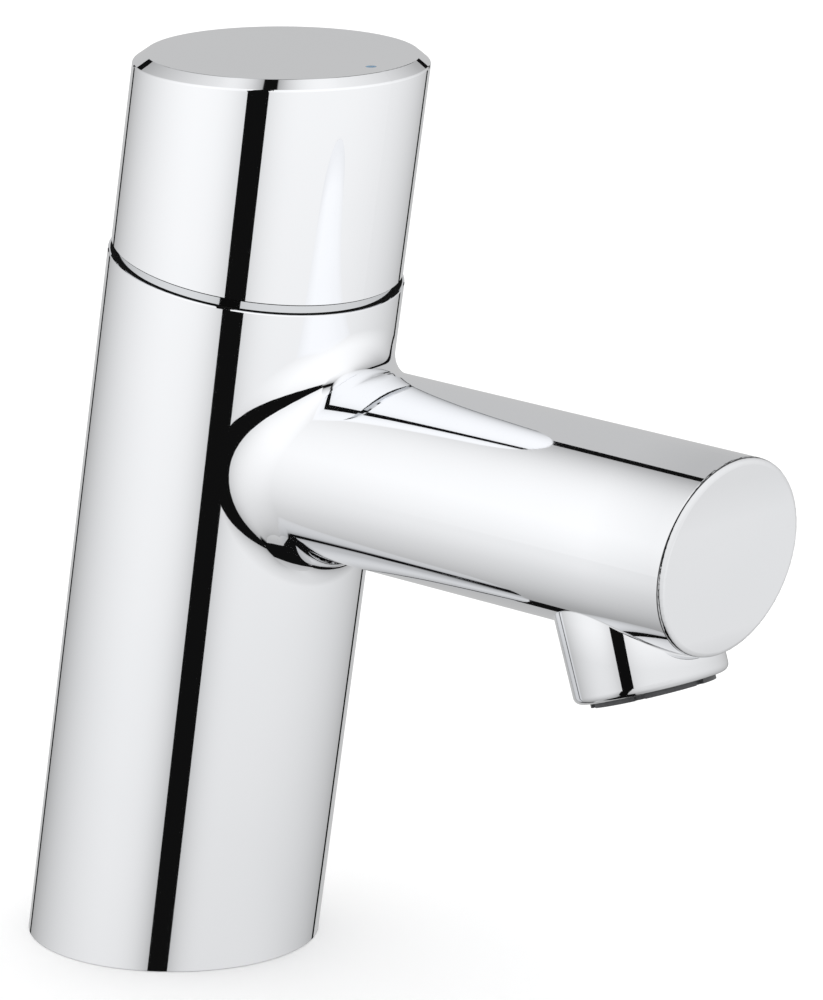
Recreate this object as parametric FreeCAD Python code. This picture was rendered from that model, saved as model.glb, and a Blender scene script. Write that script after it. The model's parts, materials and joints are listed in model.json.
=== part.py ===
import FreeCAD, Part
import math
import os

from FreeCAD import Placement, Rotation, Vector

# Pillar tap, millimetres. The column's axis meets the deck at the origin, +Z is up, and the spout
# points to +X. Pieces on the column are drawn upright about Z and then leaned with it. Pieces in the
# nozzle are drawn along Z, downstream, and then turned to the nozzle's direction.

# Column
lean_deg = 9.5
body_radius = 23.0
body_height = 113.1
body_wall = 3.2
body_edge = 0.15

# Spout
spout_drop = 28.4
spout_dip_deg = 0.5
spout_radius = 15.3
spout_length = 101.0
spout_end_tilt_deg = 7.5
spout_wall = 3.2
spout_root_above = 5.0
spout_root_beside = 14.0
spout_root_below = 6.0
spout_edge = 0.9
spout_end_wall = 4.0

# Nozzle
nozzle_front_gap = 3.1
nozzle_tilt_deg = 19.0
nozzle_radius = 11.8
nozzle_stand = 8.8
nozzle_root_fillet = 0.3
nozzle_rim = 1.2
nozzle_passage_radius = 7.6
outlet_bore_radius = 8.5

# Valve chamber in the column, measured along the leaning axis
neck_drop = 7.1
headpart_depth = 30.0
seat_web = 10.0
seat_bore_radius = 4.5
chamber_radius = 15.0
neck_length = 10.0
headpart_thread_radius = 10.478
throat_radius = 8.5
throat_wall = 3.0

# Collar, the washer under it and the glide ring
collar_height = 1.4
collar_inset = 1.2
collar_draft = 0.3
washer_rim = 0.35
washer_height = 0.3
collar_sleeve_wall = 2.6
collar_sleeve_depth = 6.0
glide_height = 3.0
glide_wall = 1.8

# Handle
handle_inset = 0.4
handle_height = 32.8
handle_bevel_drop = 1.5
handle_bevel_in = 1.9
handle_bevel_round = 0.4
handle_skirt = 2.4
handle_top = 3.4
handle_boss_radius = 10.0
handle_rib = 1.6
handle_rib_count = 6
handle_lower_edge = 0.2
dot_radius = 0.8
dot_depth = 1.2
dot_from_rim = 5.2
dot_aside = 1.1

# Handle insert and set screw
insert_radius = 7.0
insert_length = 11.5
set_screw_radius = 2.5
set_screw_length = 11.0
set_screw_key = 2.5
set_screw_pad = 9.0
set_screw_pad_gap = 0.8

# Headpart
bonnet_hex = 17.0
bonnet_hex_height = 6.0
bonnet_flange_radius = 12.5
bonnet_flange_height = 1.4
thread_lead = 0.8
cage_radius = 8.4
cage_bore_radius = 6.9
cage_grip = 1.1
port_width = 8.0
port_height = 4.0
seal_washer = 1.0

# Ceramic discs
disc_thickness = 3.0
disc_gap = 0.05
disc_key = 2.2
disc_port_inner = 1.2
disc_port_outer = 5.6
disc_port_deg = 76.0
seat_seal_height = 2.6
seat_seal_bore = 4.9

# Stem
stem_radius = 4.55
stem_bar = 5.0
stem_bar_height = 3.4
stem_slot_depth = 1.5
stem_lug_height = 2.9
stem_lug_deg = 120.0
stem_travel_deg = 90.0
stem_stop_slack_deg = 1.0
thrust_washer_height = 0.9
stem_ring_section = 1.1
stem_ring_pitch = 5.0
spline_teeth = 20
spline_tip = 4.0
spline_root = 3.65
spline_length = 10.5
clip_thickness = 0.8
clip_radius = 6.2
clip_opening_deg = 70.0
insert_lift = 1.4

# Riser
riser_radius = 7.0
riser_bore_radius = 4.5
riser_socket_depth = 6.0
riser_boss_wall = 4.0
riser_boss_drop = 12.0
riser_ring_section = 1.4
riser_ring_inset = 3.6

# Foot
insert_top = 22.0
insert_floor = 13.0
insert_ledge = 0.8
insert_clip_height = 6.0
insert_clip_thickness = 1.5
insert_clip_grip = 1.2
insert_clip_wall = 2.6
insert_clip_gap_deg = 60.0
insert_boss_step = 2.2
base_seal_height = 2.0
foot_lip = 1.7
stud_offset = -11.5
stud_socket_radius = 3.4
stud_socket_depth = 14.0
supply_offset = 3.0
supply_socket_radius = 4.5
supply_socket_depth = 10.0
supply_passage_radius = 3.5

# Aerator, distances along the nozzle
aerator_thread_radius = 10.0
aerator_length = 9.0
aerator_proud = 0.8
aerator_collar_radius = 9.55
aerator_collar = 1.9
aerator_bore_radius = 8.35
aerator_lip = 0.45
aerator_lip_height = 2.6
aerator_notch_count = 6
aerator_notch = 1.6
aerator_seal_height = 1.5
aerator_seal_bore = 7.7
screen_flange = 0.6
screen_rise = 2.0
screen_crown = 4.6
screen_skin = 0.4
jet_plate = 2.0
jet_slot_count = 12
jet_slot_width = 0.8
jet_slot_inner = 3.4
jet_slot_outer = 6.6
grid_depth = 2.4
grid_rim = 0.7
grid_rim_height = 3.2
grid_cell = 2.3
grid_web = 0.45

# Clearances
press = 0.02
slide = 0.05
stack = 0.05
key_clearance = 0.1
thread_clearance = 0.05
washer_clearance = 0.3

# Working allowances: how far a cut runs past a face, how deep a fused detail bites into its wall,
# how close an edge counts as on a plane, and the extra length of a blank
over = 1.0
bite = 0.3
near = 0.01
stock = 60.0

# Radii and heights that several pieces share, heights along the leaning axis
cavity_radius = body_radius - body_wall
base_seal_radius = body_radius - foot_lip
insert_boss_radius = cavity_radius - insert_boss_step
handle_radius = body_radius - handle_inset
dot_offset = handle_radius - dot_from_rim
spout_height = body_height - spout_drop
nozzle_length = spout_radius + nozzle_stand
neck_height = body_height - neck_drop
seat_height = neck_height - headpart_depth
web_floor = seat_height - seat_web
thread_foot = neck_height - neck_length
collar_base = body_height + stack
collar_top = body_height + collar_height - stack
collar_washer_radius = body_radius - washer_rim
handle_base = body_height + collar_height
handle_axis_height = handle_base + handle_height
flange_base = neck_height + seal_washer
hex_top = flange_base + bonnet_hex_height
insert_base = hex_top + clip_thickness + insert_lift
spline_top = insert_base + spline_length
disc_base = seat_height + seat_seal_height
cage_foot = disc_base - cage_grip
moving_base = disc_base + disc_thickness + disc_gap
moving_top = moving_base + disc_thickness
bar_base = moving_top - stem_slot_depth + stack
lug_base = bar_base + stem_bar_height + stack
lug_top = lug_base + stem_lug_height
cage_ceiling = lug_top + stack + thrust_washer_height + stack

# Where the nozzle leaves the spout, so that its front stays clear of the spout's end
nozzle_slant = math.radians(nozzle_tilt_deg - spout_dip_deg)
end_slant = math.radians(spout_end_tilt_deg - spout_dip_deg)
spout_underside = spout_length - spout_radius * math.tan(end_slant)
nozzle_front = nozzle_radius / math.cos(nozzle_slant) + spout_radius * math.tan(nozzle_slant)
nozzle_reach = spout_underside - nozzle_front_gap - nozzle_front

# Directions
upright = Vector(0, 0, 1)
origin = Vector(0, 0, 0)
lean = Rotation(Vector(0, 1, 0), lean_deg)
column_axis = lean.multVec(upright)
spout_axis = Rotation(Vector(0, 1, 0), spout_dip_deg).multVec(Vector(1, 0, 0))
spout_end_normal = Rotation(Vector(0, 1, 0), spout_end_tilt_deg).multVec(Vector(1, 0, 0))
nozzle_axis = Rotation(Vector(0, 1, 0), -nozzle_tilt_deg).multVec(Vector(0, 0, -1))
spout_start = column_axis * spout_height
nozzle_start = spout_start + spout_axis * nozzle_reach
handle_level = handle_axis_height * column_axis.z


def rounded_radius(edge):
    """The radius of an edge or surface, to a tenth of a micrometre."""
    return round(edge.Radius, 4)


def on_column(shape):
    """Leans a shape that is drawn upright about Z."""
    shape.Placement = Placement(origin, lean).multiply(shape.Placement)
    return shape


def on_nozzle(shape):
    """Turns a shape that is drawn along Z to run down the nozzle."""
    turn = Rotation(upright, nozzle_axis)
    shape.Placement = Placement(nozzle_start, turn).multiply(shape.Placement)
    return shape


def turned(profile):
    """A solid of revolution about Z from (radius, height) points."""
    points = [Vector(radius, 0, height) for radius, height in profile]
    face = Part.Face(Part.makePolygon(points + points[:1]))
    return face.revolve(origin, upright, 360)


def disc(radius, low, high):
    """A plain disc about Z."""
    return Part.makeCylinder(radius, high - low, Vector(0, 0, low))


def ring(inner, outer, low, high):
    """A plain ring about Z."""
    return disc(outer, low, high).cut(disc(inner, low - over, high + over))


def sector(inner, outer, middle_deg, sweep_deg, low, high):
    """A slice of a ring about Z, centred on a direction."""
    corners = [(inner, low), (outer, low), (outer, high), (inner, high)]
    points = [Vector(radius, 0, height) for radius, height in corners]
    face = Part.Face(Part.makePolygon(points + points[:1]))
    slice_ = face.revolve(origin, upright, sweep_deg)
    slice_.rotate(origin, upright, middle_deg - sweep_deg / 2)
    return slice_


def bar(length, width, low, high):
    """A block centred on Z, its length along X."""
    return Part.makeBox(length, width, high - low, Vector(-length / 2, -width / 2, low))


def beyond(point, direction):
    """A block that fills all that lies past a plane."""
    size = 8 * stock
    block = Part.makeBox(size, size, size, Vector(-size / 2, -size / 2, 0))
    block.Placement = Placement(point, Rotation(upright, direction))
    return block


def around(shape, count):
    """Copies of a shape, evenly spaced about Z."""
    copies = []
    for index in range(count):
        copy = shape.copy()
        copy.rotate(origin, upright, 360.0 * index / count)
        copies.append(copy)
    return copies


def gear_prism(root, tip, teeth, low, high):
    """A prism with straight-sided teeth, for a fine spline."""
    points = []
    tooth = [(0.0, root), (0.3, root), (0.5, tip), (0.8, tip)]
    for index in range(teeth):
        for share, radius in tooth:
            angle = 2 * math.pi * (index + share) / teeth
            points.append(Vector(radius * math.cos(angle), radius * math.sin(angle), low))
    face = Part.Face(Part.makePolygon(points + points[:1]))
    return face.extrude(Vector(0, 0, high - low))


def squeezed_ring(outer, section, height):
    """An O-ring under pressure, its round section pressed flat against the bore and the groove's floor."""
    middle = outer - section / 2
    inner = outer - section
    half = section / 2
    flat = section / 4
    return on_column(turned([
        (outer, height - flat), (outer, height + flat), (middle, height + half),
        (inner, height + flat), (inner, height - flat), (middle, height - half),
    ]))


def hexagon(across_flats, low, high):
    """A hexagonal prism about Z."""
    radius = across_flats / math.sqrt(3)
    points = []
    for index in range(6):
        angle = math.radians(60 * index)
        points.append(Vector(radius * math.cos(angle), radius * math.sin(angle), low))
    face = Part.Face(Part.makePolygon(points + points[:1]))
    return face.extrude(Vector(0, 0, high - low))


def joint_edges(shape, radius_a, radius_b):
    """The edges where a cylinder of one radius meets a cylinder of another."""
    wanted = sorted([round(radius_a, 4), round(radius_b, 4)])
    found = []
    for edge in shape.Edges:
        faces = shape.ancestorsOfType(edge, Part.Face)
        radii = sorted(rounded_radius(f.Surface) for f in faces if isinstance(f.Surface, Part.Cylinder))
        if radii == wanted:
            found.append(edge)
    return found


def end_edges(shape, radius, point, direction):
    """The edges where a cylinder's end meets the plane through a point."""
    found = []
    for edge in shape.Edges:
        faces = shape.ancestorsOfType(edge, Part.Face)
        round_faces = [f for f in faces if isinstance(f.Surface, Part.Cylinder)]
        flat_faces = [f for f in faces if isinstance(f.Surface, Part.Plane)]
        if not round_faces or not flat_faces:
            continue
        if rounded_radius(round_faces[0].Surface) != round(radius, 4):
            continue
        if abs((edge.Vertexes[0].Point - point).dot(direction)) < near:
            found.append(edge)
    return found


def level_edges(shape, level):
    """The edges that lie in a level plane."""
    found = []
    for edge in shape.Edges:
        ends = [edge.valueAt(place).z for place in edge.ParameterRange]
        middle = edge.valueAt(sum(edge.ParameterRange) / 2).z
        if max(abs(height - level) for height in ends + [middle]) < near:
            found.append(edge)
    return found


def column_blank():
    """The leaning column, long enough below to be cut level with the deck."""
    blank = Part.makeCylinder(body_radius, body_height + stock, Vector(0, 0, -stock))
    blank.rotate(origin, upright, 180)
    blank = on_column(blank)
    top_edge = end_edges(blank, body_radius, column_axis * body_height, column_axis)
    return blank.makeChamfer(body_edge, top_edge)


def spout_blank():
    """The spout from the column's axis to its tilted flat end, made of four quarters, so that the
    edge round its root has corners above, beside and below."""
    quarter = Part.makeCylinder(spout_radius, spout_length + stock, origin, upright, 90)
    first, *others = around(quarter, 4)
    blank = first.fuse(others)
    blank.Placement = Placement(spout_start, Rotation(upright, spout_axis))
    return blank.cut(beyond(spout_start + spout_axis * spout_length, spout_end_normal))


def nozzle_blank():
    """The short nozzle under the spout's end."""
    return on_nozzle(disc(nozzle_radius, 0, nozzle_length))


def radius_above():
    """The root blend's radius above the spout, no larger than the room under the column's top edge."""
    across = math.radians(90 - lean_deg + spout_dip_deg)
    rise = body_radius / math.tan(across) + spout_radius / math.sin(across)
    room = spout_drop - rise - 2 * body_edge
    return min(spout_root_above, room / (1 / math.tan(across) + 1 / math.sin(across)))


def root_radius(point):
    """The root blend's radius at one of the four corners of the root's edge."""
    if abs(point.y) > spout_radius / 2:
        return spout_root_beside
    return radius_above() if point.z > spout_start.z else spout_root_below


def root_blend(shape):
    """Blends the spout into the column: tight above and below the spout, wide beside it. The first
    edge sets which way round the blend runs, and an edge that runs the other way swaps its radii."""
    drawing = FreeCAD.newDocument()
    blank = drawing.addObject("Part::Feature", "blank")
    blank.Shape = shape
    ways = []
    radii = []
    for edge in joint_edges(shape, body_radius, spout_radius):
        number = [edge.isSame(other) for other in shape.Edges].index(True) + 1
        start, end = [edge.valueAt(place) for place in edge.ParameterRange]
        turning = (start - spout_start).cross(edge.tangentAt(edge.FirstParameter))
        ways.append(turning.dot(spout_axis) > 0)
        if ways[-1] != ways[0]:
            start, end = end, start
        radii.append((number, root_radius(start), root_radius(end)))
    blend = drawing.addObject("Part::Fillet", "blend")
    blend.Base = blank
    blend.Edges = radii
    drawing.recompute()
    blended = blend.Shape.copy()
    FreeCAD.closeDocument(drawing.Name)
    return blended


def body_outside():
    """Column, spout and nozzle in one, with their blends and broken edges."""
    shape = root_blend(column_blank().fuse(spout_blank()))
    shape = shape.fuse(nozzle_blank())
    shape = shape.makeFillet(nozzle_root_fillet, joint_edges(shape, spout_radius, nozzle_radius))
    rim_centre = nozzle_start + nozzle_axis * nozzle_length
    shape = shape.makeFillet(nozzle_rim, end_edges(shape, nozzle_radius, rim_centre, nozzle_axis))
    end_centre = spout_start + spout_axis * spout_length
    shape = shape.makeFillet(spout_edge, end_edges(shape, spout_radius, end_centre, spout_end_normal))
    return shape.cut(beyond(origin, Vector(0, 0, -1)))


def body_hollows():
    """Everything that is cored or bored out of the casting."""
    clip_outer = cavity_radius + insert_clip_grip
    clip_top = insert_clip_height + insert_clip_thickness + 2 * stack
    boss_foot = web_floor - riser_boss_drop
    foot = disc(cavity_radius, -stock, insert_top)
    shaft = disc(cavity_radius - insert_ledge, insert_top, web_floor)
    boss = disc(riser_radius + riser_boss_wall, boss_foot, web_floor)
    hollows = [
        on_column(foot),
        on_column(shaft.cut(boss)),
        on_column(disc(clip_outer, insert_clip_height, clip_top)),
        on_column(disc(riser_radius + slide, boss_foot - over, web_floor + riser_socket_depth)),
        on_column(disc(seat_bore_radius, web_floor, seat_height + over)),
        on_column(disc(chamber_radius, seat_height, thread_foot)),
        on_column(disc(headpart_thread_radius, thread_foot - over, neck_height + over)),
        on_column(disc(cavity_radius, neck_height, body_height + over)),
        on_column(disc(collar_washer_radius, body_height - washer_height, body_height + over)),
        Part.makeCylinder(base_seal_radius + press, base_seal_height + over, Vector(0, 0, -over)),
    ]
    return hollows + waterways()


def waterways():
    """The way out: throat, spout core, outlet bore and nozzle."""
    throat_start = chamber_radius - throat_wall
    core_start = body_radius + throat_wall
    core_radius = spout_radius - spout_wall
    taper_start = nozzle_reach - nozzle_radius - 2 * spout_wall - (core_radius - outlet_bore_radius)
    taper_end = taper_start + core_radius - outlet_bore_radius
    bore_end = spout_length - spout_end_wall
    core = turned([
        (0, throat_start), (throat_radius, throat_start), (throat_radius, core_start),
        (core_radius, core_start + core_radius - throat_radius), (core_radius, taper_start),
        (outlet_bore_radius, taper_end), (outlet_bore_radius, bore_end), (0, bore_end),
    ])
    core.Placement = Placement(spout_start, Rotation(upright, spout_axis))
    shoulder = nozzle_length - aerator_length + aerator_proud - aerator_seal_height - 2 * stack
    passage = on_nozzle(disc(nozzle_passage_radius, 0, shoulder + over))
    thread = on_nozzle(disc(aerator_thread_radius, shoulder, nozzle_length + over))
    return [core, passage, thread]


def body():
    """The cast body: column, spout and nozzle with their hollows."""
    shape = body_outside()
    for hollow in body_hollows():
        shape = shape.cut(hollow)
    return shape


def base_insert():
    """The insert in the foot, with the stud socket, the supply socket and the way up to the riser."""
    clip_top = insert_clip_height + insert_clip_thickness + 2 * stack
    flange = disc(cavity_radius - slide, clip_top, insert_top - stack)
    boss = disc(insert_boss_radius, -stock, clip_top + over)
    shape = on_column(flange.fuse(boss)).cut(beyond(origin, Vector(0, 0, -1)))
    shape = shape.cut(on_column(disc(riser_radius + slide, insert_floor, insert_top + over)))
    stud = Part.makeCylinder(stud_socket_radius, stud_socket_depth + over, Vector(stud_offset, 0, -over))
    supply_foot = Vector(supply_offset, 0, -over)
    supply = Part.makeCylinder(supply_socket_radius, supply_socket_depth + over, supply_foot)
    passage = Part.makeCylinder(supply_passage_radius, insert_floor + over, supply_foot)
    return shape.cut(stud).cut(supply).cut(passage)


def insert_clip():
    """The retaining ring under the insert."""
    outer = cavity_radius + insert_clip_grip - stack
    inner = cavity_radius + insert_clip_grip - insert_clip_wall
    low = insert_clip_height + stack
    high = low + insert_clip_thickness
    clip = ring(inner, outer, low, high)
    opening = sector(0, body_radius, 180, insert_clip_gap_deg, low - over, high + over)
    return on_column(clip.cut(opening))


def base_seal():
    """The rubber ring between the casting's foot and the deck."""
    drift = base_seal_height * math.tan(math.radians(lean_deg))
    inner = insert_boss_radius / math.cos(math.radians(lean_deg)) + drift + washer_clearance
    return ring(inner, base_seal_radius, 0, base_seal_height)


def riser_tube():
    """The tube that carries water up to the valve seat."""
    low = insert_floor + stack
    high = web_floor + riser_socket_depth - stack
    tube = ring(riser_bore_radius, riser_radius, low, high)
    groove_floor = riser_radius + slide - riser_ring_section - press
    for height in riser_ring_heights():
        half = riser_ring_section / 2 + key_clearance
        tube = tube.cut(ring(groove_floor, riser_radius + over, height - half, height + half))
    return on_column(tube)


def riser_ring_heights():
    """Heights of the two O-rings, one in each socket."""
    return [insert_floor + riser_ring_inset, web_floor + riser_socket_depth - riser_ring_inset]


def riser_o_rings():
    """The two O-rings on the riser."""
    outer = riser_radius + slide - press
    section = riser_ring_section - press
    rings = [squeezed_ring(outer, section, height) for height in riser_ring_heights()]
    return Part.makeCompound(rings)


def bonnet():
    """The headpart's housing: cage with ports, thread, flange and hexagon."""
    thread = headpart_thread_radius - thread_clearance
    cage_top = thread_foot
    hexagon_part = hexagon(bonnet_hex, flange_base, hex_top)
    outside = turned([
        (0, cage_foot), (cage_radius, cage_foot), (cage_radius, cage_top), (thread - thread_lead, cage_top),
        (thread, cage_top + thread_lead), (thread, flange_base), (bonnet_flange_radius, flange_base),
        (bonnet_flange_radius, flange_base + bonnet_flange_height), (0, flange_base + bonnet_flange_height),
    ])
    shape = outside.fuse(hexagon_part)
    shape = shape.cut(disc(cage_bore_radius, cage_foot - over, cage_ceiling))
    shape = shape.cut(disc(stem_radius + slide, cage_ceiling - over, hex_top + over))
    stop_deg = 360 - stem_travel_deg - 2 * stem_stop_slack_deg - stem_lug_deg
    stop_foot = lug_base + stack
    stop = sector(stem_radius + 2 * slide, cage_bore_radius + bite, 180, stop_deg, stop_foot, lug_top)
    shape = shape.fuse(stop)
    port = bar(port_width, 2 * (cage_radius + over), lug_base - port_height, lug_base)
    shape = shape.cut(port)
    keyway_top = moving_base - disc_gap + stack
    keyway = bar(2 * (cage_radius + over), disc_key + 2 * key_clearance, cage_foot - over, keyway_top)
    return on_column(shape.cut(keyway))


def bonnet_seal():
    """The flat washer between the headpart's flange and the casting."""
    inner = headpart_thread_radius + slide
    return on_column(ring(inner, bonnet_flange_radius + washer_clearance, neck_height, flange_base))


def seat_seal():
    """The rubber ring that presses the discs together and seals on the seat."""
    return on_column(ring(seat_seal_bore, cage_bore_radius - slide, seat_height, disc_base - stack))


def disc_ports(low, high, middle_deg):
    """The two opposite openings of a ceramic disc."""
    first = sector(disc_port_inner, disc_port_outer, middle_deg, disc_port_deg, low, high)
    second = sector(disc_port_inner, disc_port_outer, middle_deg + 180, disc_port_deg, low, high)
    return first.fuse(second)


def fixed_disc():
    """The lower ceramic disc, keyed into the cage by two lugs."""
    top = disc_base + disc_thickness
    plate = disc(cage_bore_radius - slide, disc_base, top)
    lugs = bar(2 * cage_radius - key_clearance, disc_key, disc_base, top)
    plate = plate.fuse(lugs).common(disc(cage_radius - key_clearance, disc_base, top))
    return on_column(plate.cut(disc_ports(disc_base - over, top + over, 0)))


def moving_disc():
    """The upper ceramic disc, with the slot that the stem drives."""
    plate = disc(cage_bore_radius - 2 * slide, moving_base, moving_top)
    plate = plate.cut(disc_ports(moving_base - over, moving_top + over, 90))
    slot_width = stem_bar + 2 * key_clearance
    slot = bar(2 * cage_radius, slot_width, moving_top - stem_slot_depth, moving_top + over)
    return on_column(plate.cut(slot))


def stem():
    """The spindle: driving bar, stop lug, two O-ring grooves, clip groove and spline."""
    bar_radius = cage_bore_radius - 2 * key_clearance
    drive = bar(2 * cage_radius, stem_bar, bar_base, lug_base).common(disc(bar_radius, bar_base, lug_base))
    stop_deg = 360 - stem_travel_deg - 2 * stem_stop_slack_deg - stem_lug_deg
    middle = 180 + stop_deg / 2 + stem_stop_slack_deg + stem_lug_deg / 2
    lug = sector(0, bar_radius, middle, stem_lug_deg, lug_base, lug_top)
    groove_floor = stem_radius - stem_ring_section + press
    half = stem_ring_section / 2 + key_clearance
    clip_low = hex_top + key_clearance
    profile = [(0, lug_base), (stem_radius, lug_base)]
    for height in stem_ring_heights():
        profile += [(stem_radius, height - half), (groove_floor, height - half)]
        profile += [(groove_floor, height + half), (stem_radius, height + half)]
    profile += [(stem_radius, clip_low), (spline_root, clip_low)]
    profile += [(spline_root, clip_low + clip_thickness + 2 * stack)]
    profile += [(stem_radius, clip_low + clip_thickness + 2 * stack), (stem_radius, insert_base - stack)]
    profile += [(spline_root, insert_base - stack), (spline_root, spline_top), (0, spline_top)]
    shaft = turned(profile)
    spline = gear_prism(spline_root, spline_tip, spline_teeth, insert_base - stack, spline_top)
    return on_column(shaft.fuse([drive, lug, spline]))


def stem_ring_heights():
    """Heights of the stem's two O-rings, below the hexagon."""
    upper = flange_base - stem_ring_section
    return [upper - stem_ring_pitch, upper]


def stem_o_rings():
    """Two O-rings in the stem's grooves."""
    section = stem_ring_section - press
    rings = [squeezed_ring(stem_radius, section, height) for height in stem_ring_heights()]
    return Part.makeCompound(rings)


def thrust_washer():
    """The plastic washer between the stem's lug and the cage's ceiling."""
    low = lug_top + stack
    high = low + thrust_washer_height
    return on_column(ring(stem_radius + slide, cage_bore_radius - 2 * slide, low, high))


def stem_clip():
    """The snap ring that keeps the stem in the bonnet."""
    low = hex_top + key_clearance + stack
    high = low + clip_thickness
    clip = ring(spline_root + slide, clip_radius, low, high)
    opening = sector(0, clip_radius + over, 90, clip_opening_deg, low - over, high + over)
    return on_column(clip.cut(opening))


def collar_ring():
    """The thin ring between column and handle, set in a little, with its sleeve in the column."""
    sleeve = cavity_radius - press
    inner = sleeve - collar_sleeve_wall
    spigot = glide_inner() - slide
    foot = body_radius - collar_inset
    return on_column(turned([
        (inner, body_height - collar_sleeve_depth), (sleeve, body_height - collar_sleeve_depth),
        (sleeve, collar_base), (foot, collar_base), (foot - collar_draft, collar_top),
        (spigot, collar_top), (spigot, collar_top + glide_height), (inner, collar_top + glide_height),
    ]))


def collar_washer():
    """The dark washer under the collar, sunk level with the column's rim."""
    outer = collar_washer_radius - press
    return on_column(ring(cavity_radius, outer, body_height - washer_height, body_height))


def glide_inner():
    """Inner radius of the glide ring."""
    return handle_radius - handle_skirt - 2 * slide - glide_wall


def glide_ring():
    """The plastic ring that the handle's skirt turns on."""
    low = collar_top + stack
    return on_column(ring(glide_inner(), glide_inner() + glide_wall, low, low + glide_height - 2 * stack))


def level_slice(radius, level):
    """The ellipse where the leaning cylinder of a radius meets a level plane."""
    centre = column_axis * (level / column_axis.z)
    ellipse = Part.Ellipse(centre, radius / column_axis.z, radius)
    return Part.Wire(ellipse.toShape())


def handle_outside():
    """The cap: a leaning cylinder with a level top and a bevel round it."""
    bevel_level = handle_level - handle_bevel_drop
    post = on_column(disc(handle_radius, handle_base, handle_axis_height + handle_radius))
    post = post.cut(beyond(Vector(0, 0, bevel_level), upright))
    lower_edge = end_edges(post, handle_radius, column_axis * handle_base, column_axis)
    post = post.makeChamfer(handle_lower_edge, lower_edge)
    bevel_foot = level_slice(handle_radius, bevel_level)
    bevel_top = level_slice(handle_radius - handle_bevel_in, handle_level)
    cap = post.fuse(Part.makeLoft([bevel_foot, bevel_top], True, True))
    edges = level_edges(cap, bevel_level) + level_edges(cap, handle_level)
    return cap.makeFillet(handle_bevel_round, edges)


def handle():
    """The cast handle: skirt, level top, boss, ribs, screw pad and dot recess."""
    ceiling = beyond(Vector(0, 0, handle_level - handle_top), upright)
    inside = disc(handle_radius - handle_skirt, handle_base - over, handle_axis_height + handle_radius)
    shape = handle_outside().cut(on_column(inside).cut(ceiling))
    shape = shape.fuse(handle_inside(ceiling))
    socket = disc(insert_radius + press, insert_base - over, insert_base + insert_length)
    shape = shape.cut(on_column(socket))
    shape = shape.cut(on_column(set_screw_bore()))
    return shape.cut(dot_recess())


def handle_inside(ceiling):
    """The boss, the ribs and the screw pad, all up to the ceiling."""
    height = 2 * handle_radius
    inner = handle_radius - handle_skirt
    shape = disc(handle_boss_radius, insert_base, insert_base + height)
    rib_base = spline_top + handle_rib
    rib = Part.makeBox(inner + press, handle_rib, height, Vector(0, -handle_rib / 2, rib_base))
    for copy in around(rib, handle_rib_count):
        shape = shape.fuse(copy)
    pad_low = set_screw_height() - set_screw_pad / 2
    pad = Part.makeBox(inner, set_screw_pad, height, Vector(-inner, -set_screw_pad / 2, pad_low))
    limit = disc(inner + handle_skirt / 2, pad_low - over, insert_base + height + over)
    filled = on_column(shape.fuse(pad).common(limit))
    return filled.cut(beyond(Vector(0, 0, handle_level - handle_top / 2), upright))


def set_screw_height():
    """Height of the grub screw along the leaning axis."""
    return collar_top + glide_height + set_screw_pad_gap + set_screw_pad / 2


def set_screw_bore():
    """The threaded hole for the grub screw, open through the skirt at the rear."""
    radius = set_screw_radius + thread_clearance
    start = Vector(over - insert_radius, 0, set_screw_height())
    return Part.makeCylinder(radius, handle_radius, start, Vector(-1, 0, 0))


def set_screw():
    """The grub screw, with its key socket to the rear."""
    tip = Vector(-insert_radius - slide, 0, set_screw_height())
    screw = Part.makeCylinder(set_screw_radius, set_screw_length, tip, Vector(-1, 0, 0))
    socket = hexagon(set_screw_key, 0, set_screw_length / 2)
    tail = tip + Vector(-set_screw_length - over, 0, 0)
    socket.Placement = Placement(tail, Rotation(upright, Vector(1, 0, 0)))
    return on_column(screw.cut(socket))


def handle_insert():
    """The splined adapter between stem and handle."""
    top = insert_base + insert_length
    plug = disc(insert_radius, insert_base, top - stack)
    root = spline_root + slide
    tip = spline_tip + slide
    bore = gear_prism(root, tip, spline_teeth, insert_base - over, spline_top + stack)
    return on_column(plug.cut(bore))


def dot_centre():
    """Where the dot lies on the level top, towards the spout and a little to the right of its line."""
    return column_axis * handle_axis_height + Vector(dot_offset, dot_aside, 0)


def dot_recess():
    """The blind hole for the dot."""
    floor = dot_centre() - Vector(0, 0, dot_depth)
    return Part.makeCylinder(dot_radius + press, dot_depth + over, floor, upright)


def indicator_dot():
    """The small round mark that says cold water."""
    foot = dot_centre() - Vector(0, 0, dot_depth - press)
    return Part.makeCylinder(dot_radius, dot_depth - press, foot, upright)


def aerator_foot():
    """Where the aerator's housing starts, measured along the nozzle."""
    return nozzle_length + aerator_proud - aerator_length


def aerator_seal():
    """The rubber washer above the aerator."""
    low = aerator_foot() - stack - aerator_seal_height
    return on_nozzle(ring(aerator_seal_bore, aerator_thread_radius - slide, low, low + aerator_seal_height))


def aerator_housing():
    """The threaded shell of the aerator, with notches for its key."""
    low = aerator_foot()
    high = low + aerator_length
    thread = aerator_thread_radius - thread_clearance
    shell = turned([
        (aerator_bore_radius, low), (thread, low), (thread, high - aerator_collar),
        (aerator_collar_radius, high - aerator_collar + thread - aerator_collar_radius),
        (aerator_collar_radius, high), (aerator_bore_radius - aerator_lip, high),
        (aerator_bore_radius - aerator_lip, high - aerator_lip_height),
        (aerator_bore_radius, high - aerator_lip_height),
    ])
    depth = aerator_proud + key_clearance
    notch = Part.makeBox(
        aerator_notch, aerator_notch, depth + over,
        Vector(aerator_collar_radius - aerator_notch / 2, -aerator_notch / 2, high - depth),
    )
    for copy in around(notch, aerator_notch_count):
        shell = shell.cut(copy)
    return on_nozzle(shell)


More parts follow.
